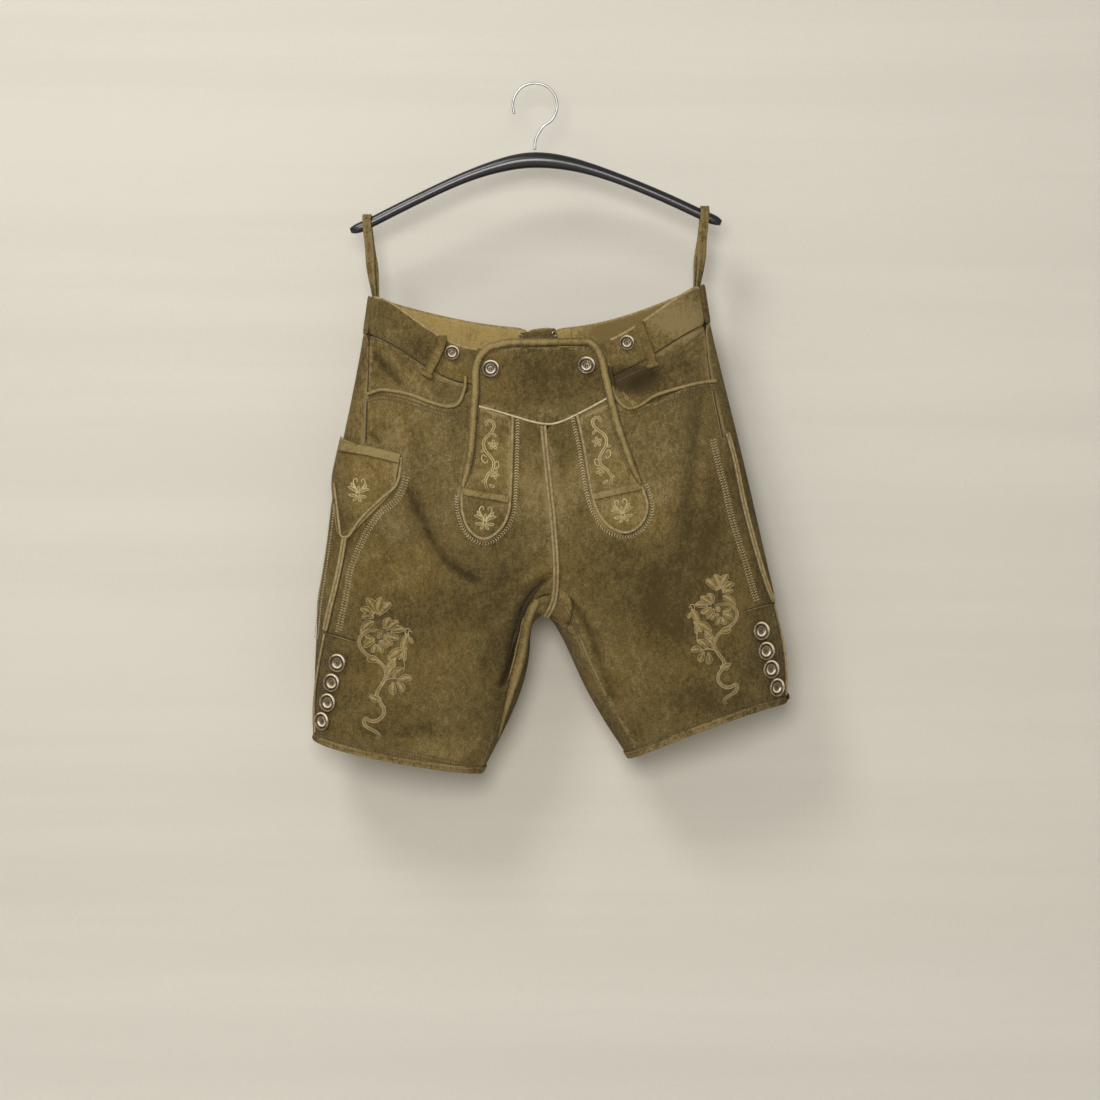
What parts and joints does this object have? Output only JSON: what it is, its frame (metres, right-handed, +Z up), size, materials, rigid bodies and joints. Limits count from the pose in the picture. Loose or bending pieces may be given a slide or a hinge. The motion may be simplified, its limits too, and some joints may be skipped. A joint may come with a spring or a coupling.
{
  "type": "lederhosen on a hanger",
  "caption": "Short Bavarian leather breeches with a buttoned front flap, pocket slits, a knife pocket and buttoned leg ends, hanging by two tapes from a hanger",
  "frame": {"origin": "the inner apex of the hanger's hook, where a rail carries it", "axes": "+Z up, -Y is the front of the breeches, +X is the wearer's left"},
  "size_m": [0.5799, 0.1546, 0.8324],
  "materials": {
    "leather": "matte olive-brown suede with tone-on-tone stitching",
    "inside": "the paler flesh side",
    "piping": "lighter smooth leather cord, sewn in",
    "horn": "turned stag horn, cream rim and darker middle",
    "metal": "dull nickel-plated brass",
    "steel": "bright plated wire",
    "plastic": "glossy black"
  },
  "bodies": {
    "root": {"back_gusset": "inside", "back_lace": "piping", "back_left": "leather", "back_right": "leather", "belt_loop_back_left": "leather", "belt_loop_back_right": "leather", "belt_loop_front_left": "leather", "belt_loop_front_right": "leather", "brace_button_left": "horn", "brace_button_right": "horn", "centre_front_piping": "piping", "eyelet_left_lower": "metal", "eyelet_left_upper": "metal", "eyelet_right_lower": "metal", "eyelet_right_upper": "metal", "flap_band_left": "leather", "flap_band_right": "leather", "flap_border": "leather", "flap_button_left": "horn", "flap_button_right": "horn", "flap_strip_left": "leather", "flap_strip_right": "leather", "flap_yoke": "leather", "front_left": "leather", "front_right": "leather", "hanger_body": "plastic", "hanger_hook": "steel", "hanging_loop_left": "leather", "hanging_loop_right": "leather", "hem_binding_left": "leather", "hem_binding_right": "leather", "knife_sheath": "leather", "leg_button_left_1": "horn", "leg_button_left_2": "horn", "leg_button_left_3": "horn", "leg_button_left_4": "horn", "leg_button_right_1": "horn", "leg_button_right_2": "horn", "leg_button_right_3": "horn", "leg_button_right_4": "horn", "pocket_facing_left": "leather", "pocket_facing_right": "leather", "pocket_piping_left": "leather", "pocket_piping_right": "leather", "side_piping_left": "piping", "side_piping_right": "piping", "waistband_back_left": "leather", "waistband_back_right": "leather", "waistband_front_left": "leather", "waistband_front_right": "leather", "yoke_piping": "piping"}
  },
  "joints": []
}
